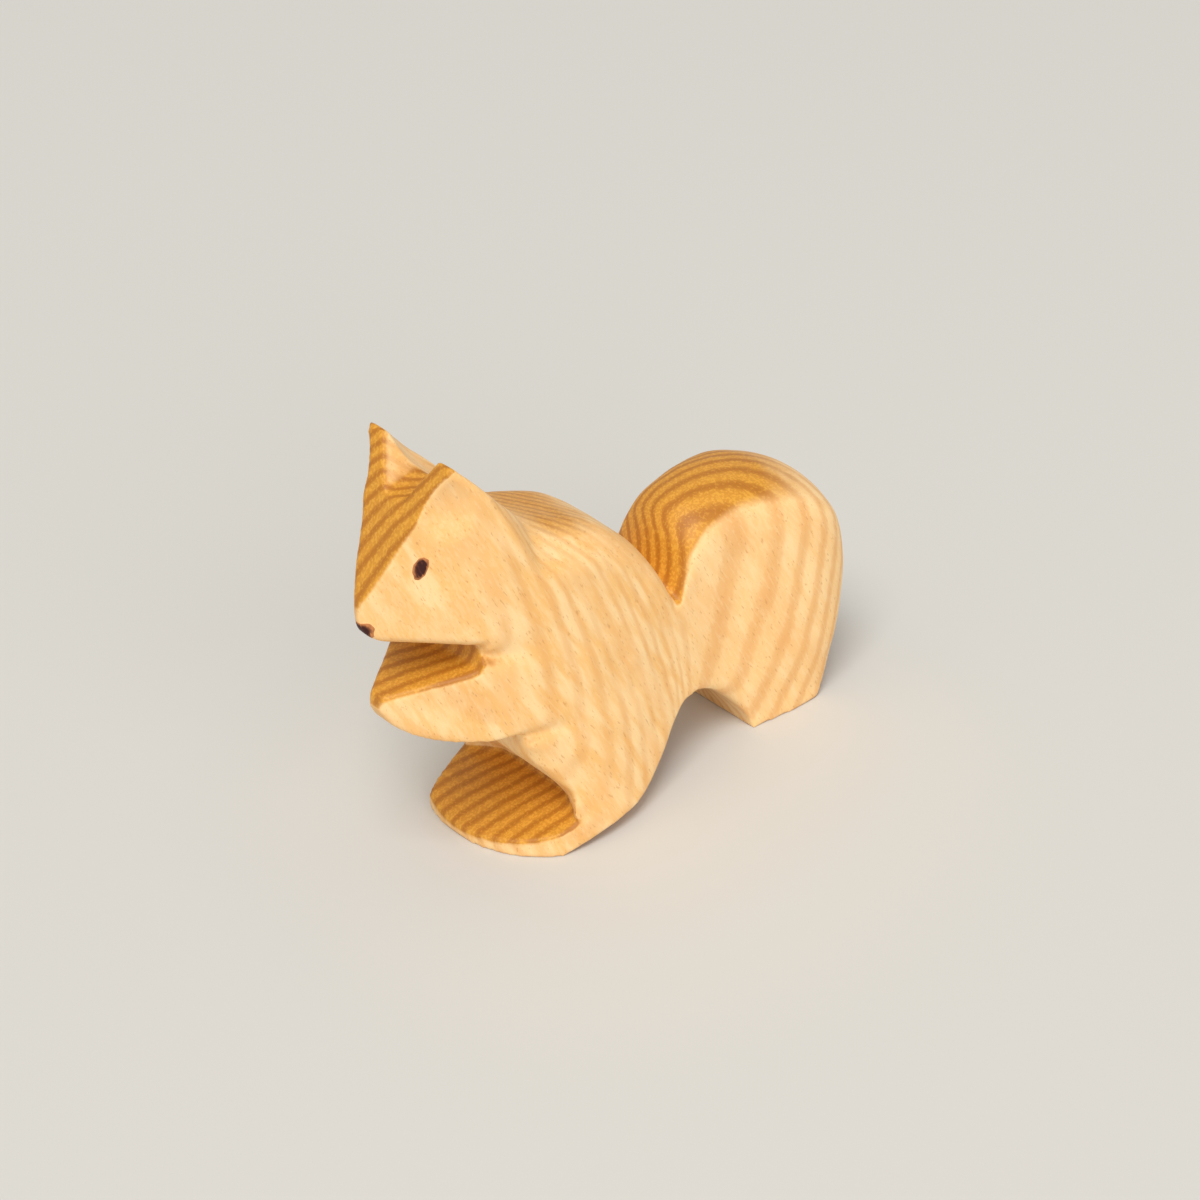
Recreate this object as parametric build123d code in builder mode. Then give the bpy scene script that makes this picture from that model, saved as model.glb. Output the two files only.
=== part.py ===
import os
from build123d import *

# Overall sizes of the figure, in millimetres
figure_length = 97.0
figure_height = 76.0
board_thickness = 30.0
half_length = figure_length / 2
half_board = board_thickness / 2
overrun = 4.0

# Heights along the side of the figure
chin_height = 46.2
arm_top_height = 38.4
arm_under_height = 25.0
tail_height = 46.4
arch_height = 13.3
toe_height = 2.0
crease_height = 6.3

# Cleft between the ears, the hollow behind it and the scoop on the outside of each ear
cleft_depth = 7.0
cleft_floor = 3.6
cleft_width = 12.4
hollow_radius = 17.0
scoop_radius = 14.0
scoop_drop = 7.8

# Small chamfers along the jaw and the top of the arms
jaw_chamfer = 1.2
arm_chamfer = 0.5

# Knife facets along the back, round the knees and down the haunches, as distances from the mid plane
back_flat = 5.5
back_steep_flat = 7.2
knee_flat = 6.0
haunch_flat = 9.5
facet_reach = 14.0

# Knife grooves behind the jaw and the arms, as distances from the mid plane at their two ends
jaw_groove_start = 7.6
jaw_groove_stop = 12.4
jaw_groove_height = 24.0
arm_groove_lead = 6.0
arm_groove_start = 8.4
arm_groove_stop = 13.8
arm_groove_height = 22.0

# Dark stain soaked into the wood at the eyes and the tip of the nose
eye_height = 3.9
eye_width = 2.0
eye_lean_degrees = 17.0
eye_depth = 0.5
nose_radius = 2.6

# Side outline, as shares of the half length and of the named heights, the head's from the chin up
chin_share = -0.92
muzzle_share = (-1.0, 0.2094)
brow_share = (-0.977, 0.3165)
ear_tip_share = (-0.764, 1.0)
nape_share = (-0.46, 0.4517)
back_shares = [(-0.25, 0.726), (-0.107, 0.672), (0.01, 0.6)]
notch_share = (0.155, 0.447)
tail_front_shares = [(0.258, 0.843), (0.328, 0.922), (0.41, 0.977)]
tail_top_share = (0.536, 1.0)
tail_back_shares = [(0.745, 0.932), (0.89, 0.82), (0.97, 0.66)]
tail_end_share = (1.0, 0.485)
tail_low_share = (0.93, 0.187)
tail_heel_share = (0.835, 0.0)
tail_toe_share = (0.507, 0.0)
arch_shares = [(0.361, 0.76), (0.186, 1.0)]
haunch_shares = [(0.12, 0.7), (0.05, 0.3)]
heel_share = (-0.082, 0.0)
toe_share = (-0.612, 0.0)
crease_share = (-0.288, 1.0)
belly_shares = [(-0.443, 0.6), (-0.525, 0.815)]
armpit_share = (-0.54, 1.0)
arm_under_shares = [(-0.752, 1.064), (-0.87, 1.168)]
arm_tip_share = (-0.95, 0.9)
arm_top_share = (-0.938, 0.95)
slot_low_share = (-0.68, 0.123)
slot_high_share = (-0.655, 0.645)

# Directions of the side outline where its curves end
chin_slope_shares = (-0.8, 0.6)
upwards_shares = (0, 1)
brow_slope_shares = (0.45, 0.9)
nape_slope_shares = (0.8, -0.6)
rump_slope_shares = (0.4, -0.9)

# Plan outlines at the ground and at the ear tips, as shares of the half length and the half board
ground_front_share = -0.92
ground_shares = [
    (-0.77, 0.33), (-0.59, 0.68), (-0.25, 1.0), (0.1, 0.82),
    (0.3, 0.66), (0.62, 0.72), (0.85, 0.72), (0.97, 0.53),
]
crown_front_share = -1.05
crown_shares = [
    (-0.9, 0.33), (-0.77, 0.61), (-0.5, 0.68), (0.0, 0.42),
    (0.25, 0.42), (0.62, 0.56), (0.85, 0.6), (0.97, 0.5),
]
plan_back_share = 1.03
bow_slope_shares = (0.7, -0.7)
stern_slope_shares = (0, 1)

# Places of the tail's sections across the board, and how far its outline is drawn in at the outermost
tail_section_shares = (-1, -0.5, 0, 0.5, 1)
tail_draw_share = 0.2

# Toe outline in plan, from the right side round to the left side
toe_shares = [(-0.33, -1.0), (-0.55, -0.815), (-0.605, -0.3), (-0.583, 0.27), (-0.48, 0.77), (-0.3, 1.01)]

# Centres of the hollow and of each ear scoop, and where the facets and the grooves fade out
hollow_share = (-0.44, 1.066)
scoop_share = (-0.912, 1.309)
ear_fade_share = (-0.66, 1.0)
knee_fade_shares = [(-0.456, 0.58), (-0.577, 0.784), (-0.66, 0.92)]
jaw_groove_end_share = (-0.45, 0.86)
arm_groove_end_share = (-0.26, 0.968)

# Slants of the cuts for each millimetre outwards, and of the cleft for each millimetre backwards
cleft_rise_share = 0.1
back_drop_share = 0.55
back_steep_drop_share = 1.7
knee_back_share = 0.75
haunch_fore_share = -0.85
haunch_rise_share = 0.5

# Places and facings of the eyes and the nose mark
eye_share = (-0.8435, 0.4466)
eye_side_share = 0.391
eye_facing_shares = (-0.573, -0.818, -0.05)
nose_share = (-1.005, 0.0666)

os.makedirs("parts", exist_ok=True)


def on_side(share, height, ground=0):
    """Point of the side outline from a share of the half length and of a height above a ground."""
    return (share[0] * half_length, ground + share[1] * height)


def on_plan(share):
    """Point of a plan outline from shares of the half length and the half board."""
    return (share[0] * half_length, -share[1] * half_board)


def plan_outline(front_share, shares):
    """Closed plan outline, the same on both sides of the mid plane."""
    Spline(
        (front_share * half_length, 0),
        *[on_plan(share) for share in shares],
        (plan_back_share * half_length, 0),
        tangents=[bow_slope_shares, stern_slope_shares],
    )
    mirror(about=Plane.XZ)


def drawn_in(point, share):
    """Point of the tail outline, drawn in towards the foot below its top, away from the mid plane."""
    scale_share = 1 - tail_draw_share * share**2
    return (tail_top[0] + (point[0] - tail_top[0]) * scale_share, point[1] * scale_share)


def knife_groove(start, end, start_gap, stop_gap, height):
    """V groove in each side that runs out of the wood at its end."""
    for side in (-1, 1):
        path = Vector(end[0] - start[0], side * (stop_gap - start_gap), end[1] - start[1])
        with BuildSketch(Plane.YZ.offset(start[0])) as mouth:
            with BuildLine():
                Polyline(
                    (side * start_gap, start[1]),
                    (side * (start_gap + half_board), start[1] + height / 2),
                    (side * (start_gap + half_board), start[1] - height / 2),
                    close=True,
                )
            make_face()
        extrude(mouth.sketch, amount=path.length, dir=path, mode=Mode.SUBTRACT)


# Points of the side outline
head_height = figure_height - chin_height
slot_height = chin_height - arm_top_height
chin = (chin_share * half_length, chin_height)
muzzle = on_side(muzzle_share, head_height, chin_height)
brow = on_side(brow_share, head_height, chin_height)
ear_tip = on_side(ear_tip_share, head_height, chin_height)
nape = on_side(nape_share, head_height, chin_height)
back = [on_side(share, figure_height) for share in back_shares]
notch = on_side(notch_share, figure_height)
tail_front = [on_side(share, tail_height) for share in tail_front_shares]
tail_top = on_side(tail_top_share, tail_height)
tail_back = [on_side(share, tail_height) for share in tail_back_shares]
tail_end = on_side(tail_end_share, tail_height)
tail_low = on_side(tail_low_share, tail_height)
tail_heel = on_side(tail_heel_share, tail_height)
tail_toe = on_side(tail_toe_share, arch_height)
arch = [on_side(share, arch_height) for share in arch_shares]
haunch = [on_side(share, arch_height) for share in haunch_shares]
heel = on_side(heel_share, arch_height)
toe = on_side(toe_share, toe_height)
toe_top = (toe[0], toe_height)
crease = on_side(crease_share, crease_height)
belly = [on_side(share, arm_under_height) for share in belly_shares]
armpit = on_side(armpit_share, arm_under_height)
arm_under = [on_side(share, arm_under_height) for share in arm_under_shares]
arm_tip = on_side(arm_tip_share, arm_top_height)
arm_top = on_side(arm_top_share, arm_top_height)
slot_low = on_side(slot_low_share, slot_height, arm_top_height)
slot_high = on_side(slot_high_share, slot_height, arm_top_height)
slot = ((slot_low[0] + slot_high[0]) / 2, (slot_low[1] + slot_high[1]) / 2)

# Points of the knife cuts
hollow = on_side(hollow_share, figure_height)
scoop = on_plan(scoop_share)
ear_fade = on_side(ear_fade_share, figure_height)
knee_fade = [on_side(share, arm_under_height) for share in knee_fade_shares]
jaw_groove_end = on_side(jaw_groove_end_share, chin_height)
arm_groove_mouth = (armpit[0] - arm_groove_lead, armpit[1])
arm_groove_end = on_side(arm_groove_end_share, arm_under_height)
foot_rise = (crease_height - toe_height) / (crease[0] - toe[0])

with BuildPart() as tail_form:
    # Tail outline drawn in towards both sides, which rounds its top and its back
    for share in tail_section_shares:
        crown = [
            drawn_in(point, share)
            for point in (notch, *tail_front, tail_top, *tail_back, tail_end, tail_low, tail_heel)
        ]
        front, foot = crown[0], crown[-1]
        with BuildSketch(Plane.XZ.offset(-share * half_board)):
            with BuildLine():
                Spline(*crown)
                Polyline(foot, (foot[0], -overrun), (heel[0], -overrun), (heel[0], front[1]), front)
            make_face()
    loft()

with BuildPart() as tail_waste:
    # Wood of the sawn block that is carved away round the tail
    with BuildSketch(Plane.XZ.offset(-half_board - overrun)):
        with BuildLine():
            Polyline(
                (notch[0], -overrun),
                (notch[0], tail_height + overrun),
                (half_length + overrun, tail_height + overrun),
                (half_length + overrun, -overrun),
                close=True,
            )
        make_face()
    extrude(amount=board_thickness + 2 * overrun)
    add(tail_form.part, mode=Mode.SUBTRACT)

with BuildPart() as blank:
    # Side outline sawn through the board, with a block left for the tail
    with BuildSketch(Plane.XZ.offset(-half_board - overrun)):
        with BuildLine():
            Spline(chin, muzzle, tangents=[chin_slope_shares, upwards_shares])
            Spline(muzzle, brow, tangents=[upwards_shares, brow_slope_shares])
            Line(brow, ear_tip)
            Line(ear_tip, nape)
            Spline(nape, *back, notch, tangents=[nape_slope_shares, rump_slope_shares])
            Polyline(
                notch,
                (notch[0], tail_height + overrun),
                (half_length + overrun, tail_height + overrun),
                (half_length + overrun, 0),
                tail_toe,
            )
            Spline(tail_toe, *arch, *haunch, heel)
            Line(heel, toe)
            Line(toe, toe_top)
            Line(toe_top, crease)
            Spline(crease, *belly, armpit)
            Spline(armpit, *arm_under, arm_tip)
            Line(arm_tip, arm_top)
            Line(arm_top, slot_low)
            Line(slot_low, slot_high)
            Line(slot_high, chin)
        make_face()
    extrude(amount=board_thickness + 2 * overrun)
    # Taper of the sides, between the plan outlines at the ground and at the ear tips
    with BuildSketch(Plane.XY):
        with BuildLine():
            plan_outline(ground_front_share, ground_shares)
        make_face()
    with BuildSketch(Plane.XY.offset(figure_height)):
        with BuildLine():
            plan_outline(crown_front_share, crown_shares)
        make_face()
    loft(ruled=True, mode=Mode.INTERSECT)
    # Chamfers on the edges of the jaw and of the top of the arms
    for low, high, length in ((slot_high, chin, jaw_chamfer), (arm_top, slot_low, arm_chamfer)):
        span = sorted((low[0], high[0]))
        edges = blank.edges().filter_by_position(Axis.X, *span, inclusive=(False, False))
        chamfer(edges.filter_by_position(Axis.Z, low[1], high[1], inclusive=(False, False)), length=length)
    # Rounded toe outline, carved by eye so that its two corners differ
    with BuildSketch(Plane.XY):
        with BuildLine():
            toe_curve = Spline(*[on_plan(share) for share in toe_shares])
            Polyline(
                toe_curve @ 1,
                ((toe_curve @ 1).X, -half_board - overrun),
                (-half_length, -half_board - overrun),
                (-half_length, half_board + overrun),
                ((toe_curve @ 0).X, half_board + overrun),
                toe_curve @ 0,
            )
        make_face()
    extrude(amount=crease_height, mode=Mode.SUBTRACT)
    # Cleft between the ears, rising towards the back
    with BuildSketch(Plane.YZ.offset(ear_tip[0])):
        with BuildLine():
            Polyline(
                (-cleft_width / 2, figure_height),
                (-cleft_floor / 2, figure_height - cleft_depth),
                (cleft_floor / 2, figure_height - cleft_depth),
                (cleft_width / 2, figure_height),
                (cleft_width / 2, figure_height + cleft_depth),
                (-cleft_width / 2, figure_height + cleft_depth),
                close=True,
            )
        make_face()
    extrude(amount=facet_reach, dir=(1, 0, cleft_rise_share), both=True, mode=Mode.SUBTRACT)
    # Hollow that runs from the cleft down the nape
    with Locations((hollow[0], 0, hollow[1])):
        Sphere(hollow_radius, mode=Mode.SUBTRACT)
    # Shallow scoop on the outside of each ear
    for side in (-1, 1):
        with Locations((scoop[0], side * scoop[1], figure_height - scoop_drop)):
            Sphere(scoop_radius, mode=Mode.SUBTRACT)
    # Two facets along each edge of the back, fading out up the ear
    for side in (-1, 1):
        for flat, drop_share in ((back_flat, back_drop_share), (back_steep_flat, back_steep_drop_share)):
            with BuildSketch(Plane.XZ.offset(-side * flat)):
                with BuildLine():
                    Spline(nape, *back, notch, tangents=[nape_slope_shares, rump_slope_shares])
                    Polyline(notch, (notch[0], figure_height), ear_fade, nape)
                make_face()
            extrude(amount=facet_reach, dir=(0, side, -drop_share), mode=Mode.SUBTRACT)
    # Facet round each knee, level with the top of the foot
    for side in (-1, 1):
        with BuildSketch(Plane.XZ.offset(-side * knee_flat)):
            with BuildLine():
                Spline(crease, *knee_fade)
                Polyline(knee_fade[-1], toe_top, crease)
            make_face()
        extrude(
            amount=facet_reach,
            dir=(knee_back_share, side, knee_back_share * foot_rise),
            mode=Mode.SUBTRACT,
        )
    # Facet down the back of each haunch
    for side in (-1, 1):
        with BuildSketch(Plane.XZ.offset(-side * haunch_flat)):
            with BuildLine():
                Spline(tail_toe, *arch, *haunch, heel)
                Polyline(
                    heel,
                    (heel[0] - facet_reach, -toe_height),
                    (heel[0] - facet_reach, -facet_reach),
                    (tail_toe[0], -facet_reach),
                    tail_toe,
                )
            make_face()
        extrude(amount=facet_reach, dir=(haunch_fore_share, side, haunch_rise_share), mode=Mode.SUBTRACT)
    # Grooves that carry the jaw line and the arm line back along the sides
    knife_groove(slot, jaw_groove_end, jaw_groove_start, jaw_groove_stop, jaw_groove_height)
    knife_groove(arm_groove_mouth, arm_groove_end, arm_groove_start, arm_groove_stop, arm_groove_height)

    # Tail rounded over
    add(tail_waste.part, mode=Mode.SUBTRACT)

with BuildPart() as left_eye:
    # Slanted oval of stain, as deep as the wood has soaked it up
    eye_x, eye_z = on_side(eye_share, head_height, chin_height)
    eye_seat = (eye_x, -eye_side_share * half_board, eye_z)
    eye_across = Vector(eye_facing_shares).cross(Vector(0, 0, 1))
    with BuildSketch(Plane(origin=eye_seat, x_dir=-eye_across, z_dir=eye_facing_shares)):
        Ellipse(eye_width / 2, eye_height / 2, rotation=-eye_lean_degrees)
    extrude(amount=eye_depth, both=True)
    add(blank.part, mode=Mode.INTERSECT)

with BuildPart() as right_eye:
    add(mirror(left_eye.part, about=Plane.XZ, mode=Mode.PRIVATE))

with BuildPart() as nose_tip:
    # Cap of stain round the low front of the muzzle
    nose_x, nose_z = on_side(nose_share, head_height, chin_height)
    with Locations((nose_x, 0, nose_z)):
        Sphere(nose_radius)
    add(blank.part, mode=Mode.INTERSECT)

with BuildPart() as carved_body:
    add(blank.part)
    for stain in (left_eye, right_eye, nose_tip):
        add(stain.part, mode=Mode.SUBTRACT)

for node, piece in (
    ("carved_body", carved_body),
    ("left_eye", left_eye),
    ("right_eye", right_eye),
    ("nose_tip", nose_tip),
):
    piece.part.label = node
    export_step(piece.part, f"parts/{node}.step")
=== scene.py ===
"""Squirrel figurine carved from one board of ring-porous wood, with stained eyes and nose.

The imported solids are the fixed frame. The body is a worked copy of them: one skin, eased at its edges and
cut by hand. The stains are thin patches that follow its surface. All sizes are in millimetres unless a name
says otherwise, and meshes are in metres.
"""
import logging
import math
from dataclasses import dataclass, field
from enum import Enum
from typing import Iterable, Optional, Union

import bpy
import numpy as np
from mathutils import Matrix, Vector


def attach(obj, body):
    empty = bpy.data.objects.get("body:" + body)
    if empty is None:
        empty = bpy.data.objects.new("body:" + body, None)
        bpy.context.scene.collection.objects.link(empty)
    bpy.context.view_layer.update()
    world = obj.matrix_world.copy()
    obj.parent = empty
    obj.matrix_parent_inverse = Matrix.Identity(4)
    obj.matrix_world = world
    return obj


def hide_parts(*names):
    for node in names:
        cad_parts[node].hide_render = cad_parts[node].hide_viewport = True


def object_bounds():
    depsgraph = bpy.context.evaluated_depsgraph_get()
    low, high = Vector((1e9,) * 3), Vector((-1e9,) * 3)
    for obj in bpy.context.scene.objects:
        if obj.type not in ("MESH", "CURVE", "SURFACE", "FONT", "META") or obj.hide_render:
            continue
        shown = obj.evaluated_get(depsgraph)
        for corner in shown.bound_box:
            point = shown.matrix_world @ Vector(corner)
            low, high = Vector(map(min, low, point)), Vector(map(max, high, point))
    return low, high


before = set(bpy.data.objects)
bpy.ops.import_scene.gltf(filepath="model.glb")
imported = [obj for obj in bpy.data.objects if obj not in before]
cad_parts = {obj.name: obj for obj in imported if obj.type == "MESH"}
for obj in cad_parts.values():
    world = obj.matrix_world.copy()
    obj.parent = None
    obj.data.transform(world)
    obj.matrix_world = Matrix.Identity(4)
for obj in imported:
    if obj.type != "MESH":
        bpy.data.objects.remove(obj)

LOG = logging.getLogger("squirrel")
MM = 0.001
BODY = "root"
CAD_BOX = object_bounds()
GRAIN_OUTPUTS = ("Year", "Flecks", "Pores", "Streaks", "Tone", "Rear", "End")
RIM = "rim"
Triple = tuple[float, float, float]
Pair = tuple[float, float]
Socket = bpy.types.NodeSocket
Value = Union[float, Triple, tuple[float, float, float, float], Socket]


class Slot(Enum):
    """Names of the two finishes, wood and stain."""

    WOOD = "wood"
    STAIN = "stain"


class Side(Enum):
    """The figure's own left and right, as signs of Y."""

    LEFT = -1
    RIGHT = 1


def tint(red: int, green: int, blue: int) -> tuple[float, float, float, float]:
    """Scene-linear colour of an 8-bit screen colour.

    Args:
        red: Red from 0 to 255.
        green: Green from 0 to 255.
        blue: Blue from 0 to 255.

    Returns:
        The colour with an alpha of one.
    """
    parts = [value / 255 for value in (red, green, blue)]
    linear = [part / 12.92 if part <= 0.04045 else ((part + 0.055) / 1.055) ** 2.4 for part in parts]
    return (linear[0], linear[1], linear[2], 1.0)


def ease(values: np.ndarray, low: float, high: float) -> np.ndarray:
    """Smooth step of an array between two limits.

    Args:
        values: The array.
        low: Where the step is zero.
        high: Where the step is one.

    Returns:
        The array mapped to the range from zero to one.
    """
    share = np.clip((values - low) / (high - low), 0.0, 1.0)
    return share * share * (3.0 - 2.0 * share)


class NodeSheet:
    """A node tree that is filled node by node."""

    def __init__(self, tree: bpy.types.NodeTree) -> None:
        """Keeps the tree.

        Args:
            tree: The node tree to fill.
        """
        self.tree = tree

    def add(self, kind: str, settings: Optional[dict[str, object]] = None, **inputs: Value) -> bpy.types.Node:
        """Adds a node, sets it and feeds it.

        Args:
            kind: Name of the node's type.
            settings: Properties of the node.
            inputs: Values or sockets for its inputs, with an underscore for a blank in an input's name.

        Returns:
            The new node.
        """
        node = self.tree.nodes.new(kind)
        for name, setting in (settings or {}).items():
            setattr(node, name, setting)
        for name, value in inputs.items():
            self.feed(node.inputs[name.replace("_", " ")], value)
        return node

    def feed(self, socket: Socket, value: Value) -> None:
        """Links a socket to another, or sets its value.

        Args:
            socket: The input socket.
            value: A socket to link from, or a constant.
        """
        if isinstance(value, Socket):
            self.tree.links.new(value, socket)
        else:
            socket.default_value = value

    def math(self, operation: str, first: Value, second: Value = 0.0) -> Socket:
        """Scalar arithmetic.

        Args:
            operation: Name of the operation.
            first: First value.
            second: Second value.

        Returns:
            The result's socket.
        """
        node = self.add("ShaderNodeMath", {"operation": operation})
        self.feed(node.inputs[0], first)
        self.feed(node.inputs[1], second)
        return node.outputs[0]

    def vector(self, operation: str, first: Value, second: Value = (0.0, 0.0, 0.0)) -> Socket:
        """Vector arithmetic.

        Args:
            operation: Name of the operation.
            first: First vector.
            second: Second vector.

        Returns:
            The result's socket, the scalar one for a dot product.
        """
        node = self.add("ShaderNodeVectorMath", {"operation": operation})
        self.feed(node.inputs[0], first)
        self.feed(node.inputs[1], second)
        return node.outputs["Value" if operation == "DOT_PRODUCT" else "Vector"]

    def noise(self, place: Value, scale: float, detail: float = 2.0, roughness: float = 0.5) -> Socket:
        """Smooth noise.

        Args:
            place: Coordinates.
            scale: Cycles for each unit of the coordinates.
            detail: Octaves.
            roughness: Share kept from one octave to the next.

        Returns:
            The noise's scalar socket.
        """
        node = self.add("ShaderNodeTexNoise", Vector=place, Scale=scale, Detail=detail, Roughness=roughness)
        return node.outputs["Fac"]

    def step(self, value: Value, low: float, high: float, floor: float = 0.0, top: float = 1.0) -> Socket:
        """Smooth step of a value.

        Args:
            value: The value.
            low: Where the step begins.
            high: Where the step ends.
            floor: Result below the step.
            top: Result above the step.

        Returns:
            The result's socket.
        """
        node = self.add(
            "ShaderNodeMapRange", {"interpolation_type": "SMOOTHSTEP"},
            Value=value, From_Min=low, From_Max=high, To_Min=floor, To_Max=top,
        )
        return node.outputs["Result"]

    def blend(self, share: Value, first: Value, second: Value) -> Socket:
        """Mix of two colours.

        Args:
            share: Share of the second colour.
            first: First colour.
            second: Second colour.

        Returns:
            The mixed colour's socket.
        """
        node = self.add("ShaderNodeMix", {"data_type": "RGBA"})
        self.feed(node.inputs["Factor"], share)
        self.feed(node.inputs[6], first)
        self.feed(node.inputs[7], second)
        return node.outputs[2]

    def ramp(self, value: Value, stops: Iterable[tuple[float, float]]) -> Socket:
        """Grey ramp.

        Args:
            value: Place on the ramp.
            stops: Places and grey values.

        Returns:
            The ramp's colour socket.
        """
        node = self.add("ShaderNodeValToRGB", Fac=value)
        node.color_ramp.interpolation = "EASE"
        points = list(stops)
        while len(node.color_ramp.elements) < len(points):
            node.color_ramp.elements.new(0.5)
        for element, (place, grey) in zip(node.color_ramp.elements, points):
            element.position = place
            element.color = (grey, grey, grey, 1.0)
        return node.outputs["Color"]


@dataclass(frozen=True)
class LayerSurface:
    """Growth layers of one stretch of the board, as counts of years that bend gently through the wood."""

    centre: Triple
    slopes: Triple
    squares: Triple
    crosses: Triple
    offset: float

    def count(self, sheet: NodeSheet, point: Socket) -> Socket:
        """Adds the nodes that count years at a point.

        Args:
            sheet: The node sheet.
            point: The point, in millimetres.

        Returns:
            The socket of the count.
        """
        reach = sheet.vector("SUBTRACT", point, self.centre)
        tens = sheet.vector("MULTIPLY", reach, (0.1, 0.1, 0.1))
        apart = sheet.add("ShaderNodeSeparateXYZ", Vector=tens)
        x, y, z = (apart.outputs[axis] for axis in "XYZ")
        turned = sheet.add("ShaderNodeCombineXYZ", X=y, Y=z, Z=x)
        straight = sheet.vector("DOT_PRODUCT", reach, self.slopes)
        bowed = sheet.vector("DOT_PRODUCT", sheet.vector("MULTIPLY", tens, tens), self.squares)
        crossed = sheet.vector("DOT_PRODUCT", sheet.vector("MULTIPLY", tens, turned.outputs[0]), self.crosses)
        total = sheet.math("ADD", sheet.math("ADD", straight, bowed), crossed)
        return sheet.math("SUBTRACT", total, self.offset)


@dataclass(frozen=True)
class Grain:
    """Grain of the board: its growth layers, its fibres and its pores."""

    front: LayerSurface = LayerSurface(
        centre=(-20.0, 0.0, 30.0), slopes=(-0.261, -0.433, -0.003),
        squares=(-0.248, 0.061, -0.267), crosses=(-0.362, -0.110, -0.470), offset=0.30,
    )
    rear: LayerSurface = LayerSurface(
        centre=(28.0, 0.0, 28.0), slopes=(-0.165, -0.421, 0.086),
        squares=(-0.295, -1.399, -0.108), crosses=(0.075, 0.493, 0.082), offset=9.458,
    )
    waist: Pair = (5.0, 13.0)
    layer_draw: Triple = (1.0, 1.0, 0.18)
    wander_scale: float = 0.11
    wander_share: float = 0.45
    jitter_scale: float = 0.9
    jitter_share: float = 0.28
    fibre: Triple = (-0.47, 0.0, 0.883)
    fleck_width: float = 0.40
    fleck_length: float = 3.2
    fleck_steps: Pair = (0.44, 0.60)
    fleck_thinning: float = 0.10
    pore_width: float = 0.30
    pore_length: float = 1.6
    pore_steps: Pair = (0.63, 0.74)
    streak_width: float = 2.2
    streak_length: float = 13.0
    tone_width: float = 6.6
    tone_length: float = 26.0
    strand_shift: Triple = (31.0, 17.0, 13.0)
    years: tuple[tuple[float, float], ...] = (
        (0.0, 0.0), (0.20, 0.06), (0.38, 0.78), (0.50, 1.0), (0.63, 0.84), (0.82, 0.14), (1.0, 0.0),
    )
    end_facing: Pair = (0.38, 0.74)

    def group(self) -> bpy.types.NodeTree:
        """Makes the node group that every finish on this wood shares.

        Returns:
            The group, with Point and Normal in, and Year, Flecks, Pores, Streaks, Tone, Rear and End out.
        """
        tree = bpy.data.node_groups.new("board_grain", "ShaderNodeTree")
        for name in ("Point", "Normal"):
            tree.interface.new_socket(name, in_out="INPUT", socket_type="NodeSocketVector")
        for name in GRAIN_OUTPUTS:
            tree.interface.new_socket(name, in_out="OUTPUT", socket_type="NodeSocketFloat")
        sheet = NodeSheet(tree)
        source = sheet.add("NodeGroupInput")
        point = sheet.vector("MULTIPLY", source.outputs["Point"], (1000.0, 1000.0, 1000.0))
        along = sheet.add("ShaderNodeMapping", Vector=point)
        along.inputs["Rotation"].default_value = (0.0, math.atan2(-self.fibre[0], self.fibre[2]), 0.0)
        fibres = along.outputs["Vector"]
        apart = sheet.add("ShaderNodeSeparateXYZ", Vector=point)
        rear = sheet.step(apart.outputs["X"], *self.waist)
        year = self._year(sheet, point, fibres, rear)

        vessels = self._strands(sheet, fibres, self.fleck_width, self.fleck_length)
        thinned = sheet.math("SUBTRACT", vessels, sheet.math("MULTIPLY", year, self.fleck_thinning))
        flecks = sheet.step(thinned, *self.fleck_steps)
        pores = sheet.step(self._strands(sheet, fibres, self.pore_width, self.pore_length), *self.pore_steps)
        streaks = self._strands(sheet, fibres, self.streak_width, self.streak_length)
        tone = self._strands(sheet, fibres, self.tone_width, self.tone_length)
        facing = sheet.math("ABSOLUTE", sheet.vector("DOT_PRODUCT", source.outputs["Normal"], self.fibre))
        end = sheet.step(facing, *self.end_facing)

        sink = sheet.add("NodeGroupOutput")
        for name, socket in zip(GRAIN_OUTPUTS, (year, flecks, pores, streaks, tone, rear, end)):
            sheet.feed(sink.inputs[name], socket)
        return tree

    def _year(self, sheet: NodeSheet, point: Socket, fibres: Socket, share: Socket) -> Socket:
        """Adds the nodes of the growth layers.

        Args:
            sheet: The node sheet.
            point: The point, in millimetres.
            fibres: The point, turned so that the fibres run along Z.
            share: Share of the rear layers at the point.

        Returns:
            The socket of the layer's darkness: zero in early wood and one in late wood.
        """
        drawn = sheet.vector("MULTIPLY", fibres, self.layer_draw)
        wander = sheet.math("SUBTRACT", sheet.noise(drawn, self.wander_scale), 0.5)
        jitter = sheet.math("SUBTRACT", sheet.noise(drawn, self.jitter_scale, detail=3.0, roughness=0.6), 0.5)
        front = self.front.count(sheet, point)
        rear = self.rear.count(sheet, point)
        mixed = sheet.math("ADD", front, sheet.math("MULTIPLY", share, sheet.math("SUBTRACT", rear, front)))
        moved = sheet.math("ADD", mixed, sheet.math("MULTIPLY", wander, self.wander_share))
        moved = sheet.math("ADD", moved, sheet.math("MULTIPLY", jitter, self.jitter_share))
        return sheet.ramp(sheet.math("FRACT", moved), self.years)

    def _strands(self, sheet: NodeSheet, fibres: Socket, width: float, length: float) -> Socket:
        """Adds noise that is drawn out along the fibres.

        Args:
            sheet: The node sheet.
            fibres: The point, turned so that the fibres run along Z.
            width: Width of a strand.
            length: Length of a strand.

        Returns:
            The socket of the noise.
        """
        across, aside, along = self.strand_shift
        shifted = sheet.vector("ADD", fibres, (across * width, aside * length, along * length))
        drawn = sheet.vector("MULTIPLY", shifted, (1.0 / width, 1.0 / width, 1.0 / length))
        return sheet.noise(drawn, 1.0, detail=1.5)


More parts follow.
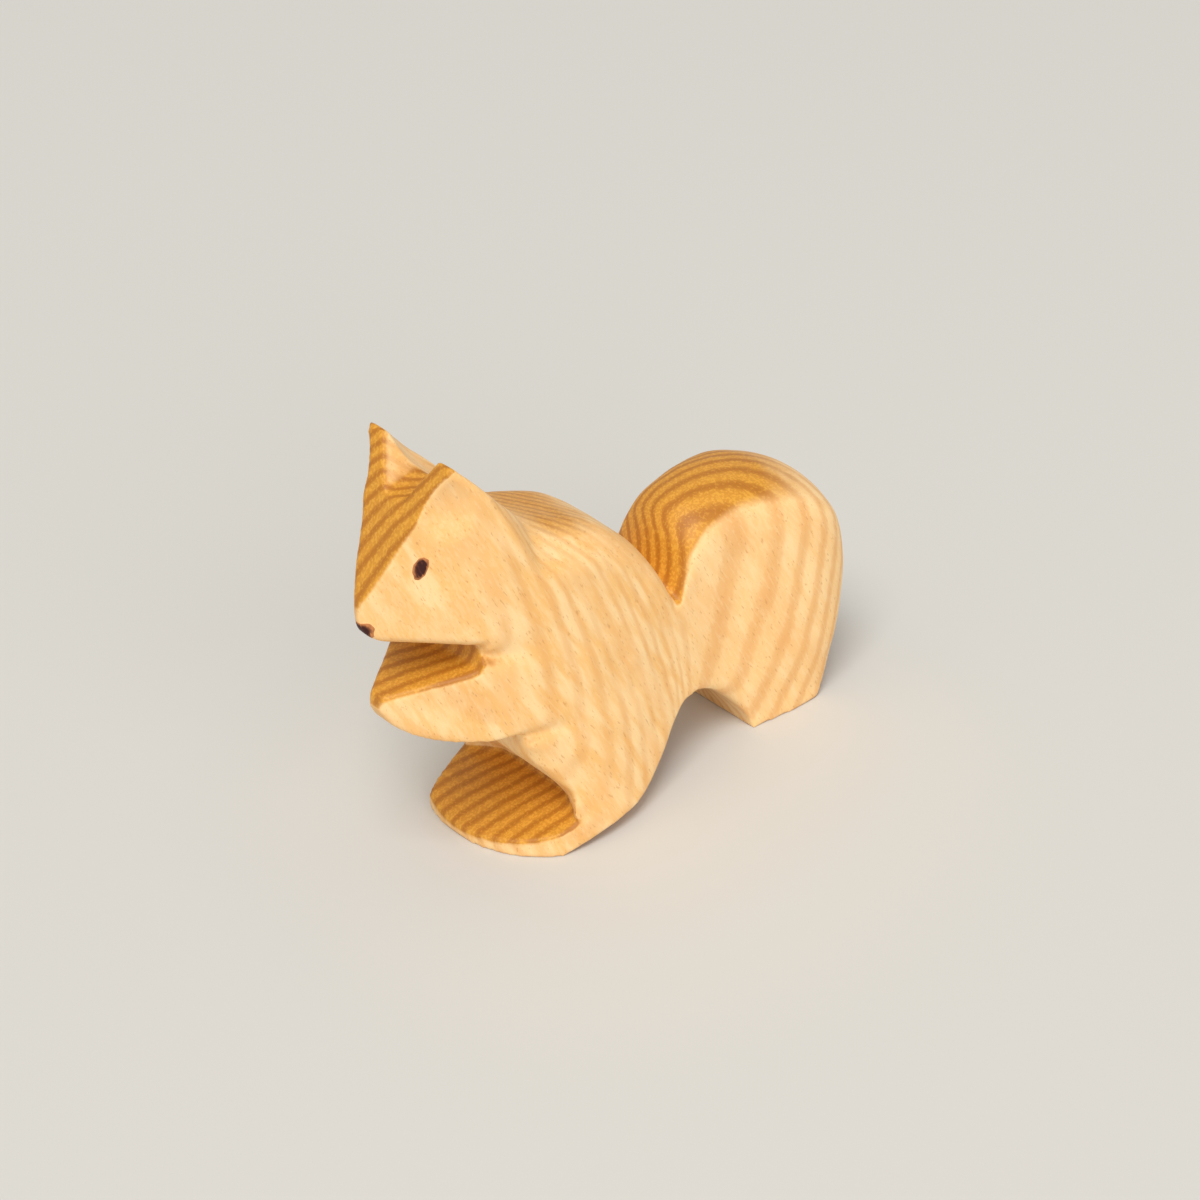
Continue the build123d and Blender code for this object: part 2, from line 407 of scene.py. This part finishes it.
@dataclass(frozen=True)
class WoodFinish:
    """Oiled, lightly sanded wood: pale along the fibre, ochre on the end grain."""

    pale: Triple = (255, 215, 154)
    honey: Triple = (248, 194, 119)
    warm: Triple = (248, 193, 124)
    streak: Triple = (231, 166, 94)
    end_light: Triple = (209, 142, 41)
    end_dark: Triple = (178, 110, 23)
    fleck: Triple = (227, 163, 56)
    glint: Triple = (255, 226, 174)
    pore: Triple = (200, 134, 68)
    streak_steps: Pair = (0.36, 0.62)
    tone_steps: Pair = (0.46, 0.66)
    tone_share: float = 0.7
    band_tones: Pair = (0.40, 0.60)
    band_shares: Pair = (0.48, 0.16)
    rear_bands: float = 0.62
    rear_calm: float = 0.5
    fleck_share: float = 0.20
    pore_share: float = 0.45
    cut_fleck_shares: Pair = (0.80, 0.50)
    roughness: float = 0.5
    gloss: float = 0.45
    relief: float = 0.08
    relief_strength: float = 0.35
    fleck_rise: float = 0.5
    pore_sink: float = 0.6

    def material(self, grain: bpy.types.NodeTree) -> bpy.types.Material:
        """Makes the material.

        Args:
            grain: The shared grain group.

        Returns:
            The wood material.
        """
        sheet, board, material = start_finish("oiled_wood", grain)
        year, flecks, pores, streaks, tone, rear, end = (board.outputs[name] for name in GRAIN_OUTPUTS)
        quiet = sheet.math("SUBTRACT", 1.0, sheet.math("MULTIPLY", rear, self.rear_calm))
        streaked = sheet.math("MULTIPLY", sheet.step(streaks, *self.streak_steps), quiet)
        side = sheet.blend(streaked, tint(*self.pale), tint(*self.honey))
        side = sheet.blend(sheet.step(tone, *self.tone_steps, top=self.tone_share), side, tint(*self.warm))
        broken = sheet.step(tone, *self.band_tones, *self.band_shares)
        shown = sheet.math("MAXIMUM", broken, sheet.math("MULTIPLY", rear, self.rear_bands))
        bands = sheet.math("MULTIPLY", year, shown)
        side = sheet.blend(bands, side, tint(*self.streak))
        side = sheet.blend(sheet.math("MULTIPLY", flecks, self.fleck_share), side, tint(*self.glint))
        side = sheet.blend(sheet.math("MULTIPLY", pores, self.pore_share), side, tint(*self.pore))
        cut = sheet.blend(year, tint(*self.end_light), tint(*self.end_dark))
        most, thinned = self.cut_fleck_shares
        sparse = sheet.math("SUBTRACT", most, sheet.math("MULTIPLY", year, thinned))
        cut = sheet.blend(sheet.math("MULTIPLY", flecks, sparse), cut, tint(*self.fleck))
        colour = sheet.blend(end, side, cut)

        raised = sheet.math("MULTIPLY", flecks, self.fleck_rise)
        height = sheet.math("SUBTRACT", raised, sheet.math("MULTIPLY", pores, self.pore_sink))
        bump = sheet.add(
            "ShaderNodeBump", Strength=self.relief_strength, Distance=self.relief * MM, Height=height,
        )
        shader = sheet.add(
            "ShaderNodeBsdfPrincipled", Base_Color=colour, Roughness=self.roughness,
            Normal=bump.outputs["Normal"],
        )
        shader.inputs["Specular IOR Level"].default_value = self.gloss
        sheet.add("ShaderNodeOutputMaterial", Surface=shader.outputs["BSDF"])
        return material


@dataclass(frozen=True)
class StainFinish:
    """Dark stain that has soaked into the wood and thins out at its rim."""

    deep: Triple = (58, 22, 18)
    thin: Triple = (98, 48, 34)
    rim: Triple = (196, 126, 74)
    rim_reach: Pair = (0.70, 1.02)
    rim_fray: float = 0.12
    soak_steps: Pair = (0.1, 0.9)
    soak_shares: Pair = (0.05, 0.6)
    roughness: float = 0.55
    gloss: float = 0.25

    def material(self, grain: bpy.types.NodeTree) -> bpy.types.Material:
        """Makes the material.

        Args:
            grain: The shared grain group.

        Returns:
            The stain material.
        """
        sheet, board, material = start_finish("soaked_stain", grain)
        flecks = board.outputs["Flecks"]
        uneven = sheet.step(flecks, *self.soak_steps, *self.soak_shares)
        colour = sheet.blend(uneven, tint(*self.deep), tint(*self.thin))
        reach = sheet.add("ShaderNodeAttribute", {"attribute_name": RIM})
        frayed = sheet.math("ADD", reach.outputs["Fac"], sheet.math("MULTIPLY", flecks, self.rim_fray))
        colour = sheet.blend(sheet.step(frayed, *self.rim_reach), colour, tint(*self.rim))
        shader = sheet.add("ShaderNodeBsdfPrincipled", Base_Color=colour, Roughness=self.roughness)
        shader.inputs["Specular IOR Level"].default_value = self.gloss
        sheet.add("ShaderNodeOutputMaterial", Surface=shader.outputs["BSDF"])
        return material


def start_finish(name: str, grain: bpy.types.NodeTree) -> tuple[NodeSheet, bpy.types.Node, bpy.types.Material]:
    """Starts a material with the grain of the board in it.

    Args:
        name: Name of the material.
        grain: The shared grain group.

    Returns:
        The material's node sheet, the grain node and the material.
    """
    material = bpy.data.materials.new(name)
    material.use_nodes = True
    material.node_tree.nodes.clear()
    sheet = NodeSheet(material.node_tree)
    place = sheet.add("ShaderNodeTexCoord")
    board = sheet.add("ShaderNodeGroup", {"node_tree": grain})
    sheet.feed(board.inputs["Point"], place.outputs["Object"])
    sheet.feed(board.inputs["Normal"], place.outputs["Normal"])
    return sheet, board, material


class Bench:
    """Workbench calls that select, edit and finish one object at a time."""

    @staticmethod
    def only(piece: bpy.types.Object) -> None:
        """Selects one object and makes it active."""
        bpy.ops.object.select_all(action="DESELECT")
        piece.select_set(True)
        bpy.context.view_layer.objects.active = piece

    @staticmethod
    def modify(piece: bpy.types.Object, kind: str, **settings: object) -> None:
        """Adds a modifier and applies it.

        Args:
            piece: The object.
            kind: The modifier's type.
            settings: Its properties.
        """
        Bench.only(piece)
        modifier = piece.modifiers.new(kind.lower(), kind)
        for name, setting in settings.items():
            setattr(modifier, name, setting)
        bpy.ops.object.modifier_apply(modifier=modifier.name)

    @staticmethod
    def points(piece: bpy.types.Object) -> np.ndarray:
        """Points of a mesh.

        Args:
            piece: The object.

        Returns:
            One row for each point, in millimetres.
        """
        flat = np.empty(len(piece.data.vertices) * 3)
        piece.data.vertices.foreach_get("co", flat)
        return flat.reshape(-1, 3) / MM

    @staticmethod
    def settle(piece: bpy.types.Object, points: np.ndarray) -> None:
        """Moves the points of a mesh.

        Args:
            piece: The object.
            points: One row for each point, in millimetres.
        """
        piece.data.vertices.foreach_set("co", (points * MM).ravel())
        piece.data.update()

    @staticmethod
    def weigh(piece: bpy.types.Object, name: str, weights: np.ndarray) -> str:
        """Makes a vertex group.

        Args:
            piece: The object.
            name: Name of the group.
            weights: A weight for each point.

        Returns:
            The group's name.
        """
        group = piece.vertex_groups.new(name=name)
        levels = np.round(weights * 40).astype(int)
        for level in range(1, 41):
            chosen = np.nonzero(levels == level)[0].tolist()
            if chosen:
                group.add(chosen, level / 40, "REPLACE")
        return group.name


@dataclass(frozen=True)
class Span:
    """A stretch along one direction that fades in and out."""

    start: float = -200.0
    full: float = -199.0
    hold: float = 199.0
    stop: float = 200.0

    def share(self, values: np.ndarray) -> np.ndarray:
        """How far values lie inside the stretch.

        Args:
            values: Places along the direction.

        Returns:
            Shares from zero to one.
        """
        return ease(values, self.start, self.full) * (1.0 - ease(values, self.hold, self.stop))


@dataclass(frozen=True)
class EaseZone:
    """A part of the body whose edges are rounded together."""

    name: str
    passes: int
    along: Span = Span()
    apart: Span = Span()
    upright: Span = Span()

    def weights(self, points: np.ndarray) -> np.ndarray:
        """How strongly each point belongs to the zone.

        Args:
            points: One row for each point, in millimetres.

        Returns:
            A weight for each point.
        """
        x, y, z = points.T
        return self.along.share(x) * self.apart.share(np.abs(y)) * self.upright.share(z)


@dataclass
class CarvedBody:
    """The whole squirrel in one skin: sawn outline, eased edges and knife marks."""

    wood: bpy.types.Material
    nodes: tuple[str, ...] = ("carved_body", "left_eye", "right_eye", "nose_tip")
    skin: float = 0.46
    stain_swell: float = 1.04
    zones: tuple[EaseZone, ...] = (
        EaseZone("edges", 5),
        EaseZone("back", 50, Span(-26, -14, 4, 12), upright=Span(30, 40)),
        EaseZone("tail", 190, Span(11, 24), upright=Span(2, 10)),
        EaseZone("tail_front", 70, Span(5, 9, 24, 34), upright=Span(33, 37)),
        EaseZone("haunch", 30, Span(-14, -8, 0, 8), upright=Span(3, 7, 18, 28)),
        EaseZone("knee", 30, Span(-28, -24, -8, -2), Span(8, 10), Span(4, 7, 20, 26)),
        EaseZone("jaw_crease", 110, Span(-32, -29.5, -22, -16), Span(3.5, 5.5), Span(36, 39, 45, 49)),
        EaseZone("arm_crease", 30, Span(-29, -25, -12, -8), Span(5, 7), Span(18, 21, 27, 30)),
    )
    knee_heights: tuple[float, ...] = (5.0, 6.3, 10.5, 15.0, 18.0, 20.4, 23.0, 24.5)
    knee_fronts: tuple[float, ...] = (-12.9, -14.0, -17.9, -21.5, -23.8, -25.3, -26.0, -26.2)
    side_places: tuple[float, ...] = (-37.3, -28.6, -20.0, -12.1, 4.9)
    side_lows: tuple[float, ...] = (4.95, 10.2, 13.4, 15.0, 12.3)
    side_highs: tuple[float, ...] = (9.15, 10.1, 9.9, 8.6, 6.2)
    knee_inside: float = 4.5
    knee_reach: float = 11.0
    knee_flare: float = 4.6
    knee_flare_fade: Pair = (6.0, 11.0)
    knee_cuts: int = 11
    tail_top_place: float = 26.0
    tail_draw_share: float = 0.2
    half_board: float = 15.0
    figure_height: float = 76.0
    front_places: tuple[float, ...] = (7.6, 12.5, 16.0, 20.0, 26.0)
    front_fills: tuple[float, ...] = (0.0, 2.6, 2.5, 0.9, 0.0)
    front_facing: Pair = (-0.70, 0.71)
    front_rise: Pair = (31.0, 36.0)
    tail_swell_share: float = 0.09
    swell_along: Pair = (14.0, 34.0)
    swell_upright: Pair = (1.0, 14.0)
    mark_size: float = 7.0
    mark_depth: float = 0.35
    mark_rise: Pair = (0.3, 3.0)
    piece: Optional[bpy.types.Object] = field(default=None, init=False)

    def build(self) -> bpy.types.Object:
        """Makes the mesh.

        Returns:
            The body.
        """
        self.piece = self._gather([self._knee(side) for side in Side])
        Bench.modify(self.piece, "REMESH", mode="VOXEL", voxel_size=self.skin * MM, use_smooth_shade=True)
        self._fill_tail()
        self._ease_edges()
        self._knife_marks()
        return self.piece

    def dress(self) -> None:
        """Gives the body its wood and its place in the frame."""
        self.piece.data.materials.clear()
        self.piece.data.materials.append(self.wood)
        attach(self.piece, BODY)
        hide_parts("carved_body")

    def _knee(self, side: Side) -> bpy.types.Object:
        """Makes the wood that fills a knee out to the edge of the board.

        Args:
            side: The figure's side.

        Returns:
            A block that follows the belly's outline and the side of the board.
        """
        bpy.ops.object.select_all(action="DESELECT")
        bpy.ops.mesh.primitive_cube_add(size=2.0)
        block = bpy.context.active_object
        bpy.ops.object.mode_set(mode="EDIT")
        bpy.ops.mesh.select_all(action="SELECT")
        bpy.ops.mesh.subdivide(number_cuts=self.knee_cuts)
        if side is Side.LEFT:
            bpy.ops.mesh.flip_normals()
        bpy.ops.object.mode_set(mode="OBJECT")
        inward, outward, upward = (Bench.points(block) * MM + 1.0).T / 2
        z = self.knee_heights[0] + upward * (self.knee_heights[-1] - self.knee_heights[0])
        x = np.interp(z, self.knee_heights, self.knee_fronts) + inward * self.knee_reach
        x -= self.knee_flare * outward**2 * (1 - ease(z, *self.knee_flare_fade)) * (1 - inward)
        low = np.interp(x, self.side_places, self.side_lows)
        high = np.interp(x, self.side_places, self.side_highs)
        board = low + (high - low) * z / self.figure_height
        y = side.value * (self.knee_inside + outward * (board - self.knee_inside))
        Bench.settle(block, np.stack([x, y, z], axis=1))
        return block

    def _gather(self, fillings: list[bpy.types.Object]) -> bpy.types.Object:
        """Joins copies of the solids with the wood that fills them out.

        Args:
            fillings: Blocks that become part of the body.

        Returns:
            One object with all the solids' faces.
        """
        bpy.ops.object.select_all(action="DESELECT")
        for block in fillings:
            block.select_set(True)
        copies = []
        for name in self.nodes:
            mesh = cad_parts[name].data.copy()
            copy = bpy.data.objects.new("squirrel_body", mesh)
            bpy.context.scene.collection.objects.link(copy)
            if name != self.nodes[0]:
                middle = np.mean(Bench.points(copy), axis=0)
                Bench.settle(copy, middle + (Bench.points(copy) - middle) * self.stain_swell)
            copy.select_set(True)
            copies.append(copy)
        bpy.context.view_layer.objects.active = copies[0]
        bpy.ops.object.join()
        bpy.ops.object.mode_set(mode="EDIT")
        bpy.ops.mesh.select_all(action="SELECT")
        bpy.ops.mesh.remove_doubles(threshold=1e-6)
        bpy.ops.object.mode_set(mode="OBJECT")
        return copies[0]

    def _fill_tail(self) -> None:
        """Fills the front of the tail over the notch, and swells its sides."""
        points = Bench.points(self.piece)
        x, y, z = points.T
        drawn = 1 - self.tail_draw_share * (y / self.half_board) ** 2
        top = self.tail_top_place
        fill = np.interp(top + (x - top) / drawn, self.front_places, self.front_fills) * drawn
        fill *= ease(z / drawn, *self.front_rise)
        points[:, 0] += fill * self.front_facing[0]
        points[:, 2] += fill * self.front_facing[1]
        swollen = ease(x, *self.swell_along) * ease(z, *self.swell_upright)
        points[:, 1] *= 1 + self.tail_swell_share * swollen
        Bench.settle(self.piece, points)

    def _ease_edges(self) -> None:
        """Rounds the edges, little at the face and the arms, and broadly along the back and the tail."""
        points = Bench.points(self.piece)
        for zone in self.zones:
            group = Bench.weigh(self.piece, zone.name, zone.weights(points))
            Bench.modify(self.piece, "SMOOTH", factor=0.5, iterations=zone.passes, vertex_group=group)
        self.piece.vertex_groups.clear()

    def _knife_marks(self) -> None:
        """Leaves the faint unevenness of a hand-cut surface, and keeps the base flat."""
        texture = bpy.data.textures.new("knife_marks", "CLOUDS")
        texture.noise_scale = self.mark_size * MM
        texture.noise_depth = 1
        group = Bench.weigh(self.piece, "marks", ease(Bench.points(self.piece)[:, 2], *self.mark_rise))
        Bench.modify(
            self.piece, "DISPLACE", texture=texture, texture_coords="LOCAL",
            strength=self.mark_depth * MM, mid_level=0.5, vertex_group=group,
        )
        self.piece.vertex_groups.clear()
        points = Bench.points(self.piece)
        low, high = (np.array(corner) / MM for corner in CAD_BOX)
        Bench.settle(self.piece, np.clip(points, low, high))


@dataclass
class StainMark:
    """A patch of stain that lies on the body and follows its surface."""

    name: str
    nodes: tuple[str, ...]
    stain: bpy.types.Material
    seat: Triple
    facing: Triple
    width: float
    height: float
    lean_degrees: float
    ragged: float = 0.07
    waves: tuple[Triple, ...] = ((3.0, 0.7, 0.5), (5.0, 2.1, 0.35), (9.0, 0.0, 0.3))
    clearance: float = 3.0
    cells: int = 22
    proud: float = 0.03
    crown: float = 0.05
    depth: float = 0.25
    piece: Optional[bpy.types.Object] = field(default=None, init=False)

    def build(self, body: bpy.types.Object) -> bpy.types.Object:
        """Makes the mesh.

        Args:
            body: The body that carries the mark.

        Returns:
            The mark.
        """
        bpy.ops.object.select_all(action="DESELECT")
        bpy.ops.mesh.primitive_grid_add(x_subdivisions=self.cells, y_subdivisions=self.cells, size=2.0)
        self.piece = bpy.context.active_object
        self.piece.name = self.name
        self.piece.data.name = self.name
        flat = Bench.points(self.piece) * MM
        disc, rim = self._round(flat)
        normal = Vector(self.facing).normalized()
        across = normal.cross(Vector((0.0, 0.0, 1.0))).normalized()
        up = across.cross(normal)
        lean = math.radians(self.lean_degrees)
        first = np.array(across) * math.cos(lean) + np.array(up) * math.sin(lean)
        second = np.array(up) * math.cos(lean) - np.array(across) * math.sin(lean)
        lift = np.array(normal) * self.clearance
        points = np.array(self.seat) + lift + np.outer(disc[:, 0], first) + np.outer(disc[:, 1], second)
        Bench.settle(self.piece, points)
        self._lay(body, np.array(normal), rim)
        return self.piece

    def dress(self) -> None:
        """Gives the mark its stain and its place in the frame."""
        self.piece.data.materials.clear()
        self.piece.data.materials.append(self.stain)
        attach(self.piece, BODY)
        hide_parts(*self.nodes)

    def _round(self, flat: np.ndarray) -> tuple[np.ndarray, np.ndarray]:
        """Turns the square grid into a ragged oval.

        Args:
            flat: Points of the grid, from minus one to one.

        Returns:
            The oval's points, and how near each is to the rim.
        """
        u, v = flat[:, 0], flat[:, 1]
        disc = np.stack([u * np.sqrt(1 - v * v / 2), v * np.sqrt(1 - u * u / 2)], axis=1)
        turn = np.arctan2(disc[:, 1], disc[:, 0])
        rim = np.hypot(disc[:, 0], disc[:, 1])
        wave = sum(np.sin(count * turn + start) * size for count, start, size in self.waves)
        disc = disc * (1 + self.ragged * wave * rim)[:, None]
        return disc * np.array([self.width / 2, self.height / 2]), rim

    def _lay(self, body: bpy.types.Object, normal: np.ndarray, rim: np.ndarray) -> None:
        """Lays the patch on the body and gives it its thickness.

        Args:
            body: The body.
            normal: Direction out of the body.
            rim: How near each point is to the patch's rim.
        """
        Bench.modify(
            self.piece, "SHRINKWRAP", target=body, wrap_method="PROJECT",
            use_positive_direction=True, use_negative_direction=False,
        )
        swell = self.proud + self.crown * (1 - np.clip(rim, 0, 1) ** 2)
        Bench.settle(self.piece, Bench.points(self.piece) + np.outer(swell, normal))
        reach = self.piece.data.attributes.new(RIM, "FLOAT", "POINT")
        reach.data.foreach_set("value", rim)
        Bench.only(self.piece)
        bpy.ops.object.mode_set(mode="EDIT")
        bpy.ops.mesh.select_all(action="SELECT")
        bpy.ops.mesh.flip_normals()
        bpy.ops.object.mode_set(mode="OBJECT")
        Bench.modify(self.piece, "SOLIDIFY", thickness=self.depth * MM, offset=-1.0)
        bpy.ops.object.shade_smooth()


@dataclass
class Studio:
    """Pale floor, soft light and the camera."""

    target: Triple = (-0.5, 0.0, 32.34)
    turn_degrees: float = 43.0
    tilt_degrees: float = 34.3
    distance: float = 468.75
    lens: float = 90.0
    sensor: float = 36.0
    near_clip: float = 10.0
    floor_width: float = 6000.0
    floor_colour: Triple = (211, 209, 203)
    floor_roughness: float = 0.9
    floor_gloss: float = 0.1
    light_colour: Triple = (1.0, 0.99, 0.975)
    sky: float = 0.48
    key_place: Triple = (-2100.0, -1300.0, 4200.0)
    key_size: float = 2000.0
    key_power: float = 148.0
    fill_place: Triple = (-900.0, -3200.0, 1400.0)
    fill_size: float = 2800.0
    fill_power: float = 42.0

    def build(self) -> None:
        """Makes the stage."""
        self._floor()
        self._sky()
        self._lamp("key_panel", self.key_place, self.key_size, self.key_power)
        self._lamp("fill_panel", self.fill_place, self.fill_size, self.fill_power)
        self._camera()
        bpy.context.scene.view_settings.view_transform = "Standard"

    def _floor(self) -> None:
        """Lays the floor."""
        bpy.ops.object.select_all(action="DESELECT")
        bpy.ops.mesh.primitive_plane_add(size=self.floor_width * MM)
        floor = bpy.context.active_object
        floor.name = "floor"
        material = bpy.data.materials.new("pale_paper")
        material.use_nodes = True
        shader = material.node_tree.nodes["Principled BSDF"]
        shader.inputs["Base Color"].default_value = tint(*self.floor_colour)
        shader.inputs["Roughness"].default_value = self.floor_roughness
        shader.inputs["Specular IOR Level"].default_value = self.floor_gloss
        floor.data.materials.append(material)

    def _sky(self) -> None:
        """Sets the soft light that comes from all round."""
        world = bpy.data.worlds.new("studio")
        bpy.context.scene.world = world
        world.use_nodes = True
        world.node_tree.nodes.clear()
        sheet = NodeSheet(world.node_tree)
        path = sheet.add("ShaderNodeLightPath")
        dome = sheet.add("ShaderNodeBackground", Color=(*self.light_colour, 1.0), Strength=self.sky)
        seen = sheet.add("ShaderNodeBackground", Color=tint(*self.floor_colour), Strength=1.0)
        shown = sheet.math("MAXIMUM", path.outputs["Is Camera Ray"], path.outputs["Is Glossy Ray"])
        mixed = sheet.add("ShaderNodeMixShader", Fac=shown)
        sheet.feed(mixed.inputs[1], dome.outputs[0])
        sheet.feed(mixed.inputs[2], seen.outputs[0])
        sheet.add("ShaderNodeOutputWorld", Surface=mixed.outputs[0])

    def _lamp(self, name: str, place: Triple, size: float, power: float) -> None:
        """Hangs a soft panel that looks at the figure.

        Args:
            name: Name of the lamp.
            place: Where it hangs.
            size: Side of the panel.
            power: Power, in watts.
        """
        light = bpy.data.lights.new(name, "AREA")
        light.shape = "SQUARE"
        light.size = size * MM
        light.energy = power
        light.color = self.light_colour
        lamp = bpy.data.objects.new(name, light)
        bpy.context.scene.collection.objects.link(lamp)
        lamp.location = Vector(place) * MM
        lamp.rotation_euler = (Vector(self.target) - Vector(place)).to_track_quat("-Z", "Y").to_euler()

    def _camera(self) -> None:
        """Sets the camera at the photograph's angle."""
        turn, tilt = math.radians(self.turn_degrees), math.radians(self.tilt_degrees)
        ahead = Vector((math.sin(turn) * math.cos(tilt), math.cos(turn) * math.cos(tilt), -math.sin(tilt)))
        data = bpy.data.cameras.new("camera")
        data.lens = self.lens
        data.sensor_width = self.sensor
        data.clip_start = self.near_clip * MM
        camera = bpy.data.objects.new("camera", data)
        bpy.context.scene.collection.objects.link(camera)
        camera.location = (Vector(self.target) - ahead * self.distance) * MM
        camera.rotation_euler = ahead.to_track_quat("-Z", "Y").to_euler()
        bpy.context.scene.camera = camera


def main() -> None:
    """Builds the figure and its stage."""
    logging.basicConfig(level=logging.INFO, format="%(name)s: %(message)s")
    grain = Grain().group()
    wood = WoodFinish().material(grain)
    stain = StainFinish().material(grain)
    body = CarvedBody(wood)
    skin = body.build()
    body.dress()
    LOG.info("%s has %d faces", skin.name, len(skin.data.polygons))
    marks = [
        StainMark(
            "eye_mark_left" if side is Side.LEFT else "eye_mark_right",
            ("left_eye",) if side is Side.LEFT else ("right_eye",), stain,
            seat=(-40.91, side.value * 5.865, 59.51), facing=(-0.573, side.value * 0.818, -0.05),
            width=2.2, height=4.0, lean_degrees=side.value * -17.0,
        )
        for side in Side
    ]
    marks.append(StainMark(
        "nose_mark", ("nose_tip",), stain, seat=(-47.8, 0.0, 48.9), facing=(-0.95, 0.0, -0.31),
        width=3.8, height=3.8, lean_degrees=0.0,
    ))
    for mark in marks:
        mark.build(skin)
        mark.dress()
        LOG.info("%s has %d faces", mark.piece.name, len(mark.piece.data.polygons))
    Studio().build()


if __name__ == "__main__":
    main()
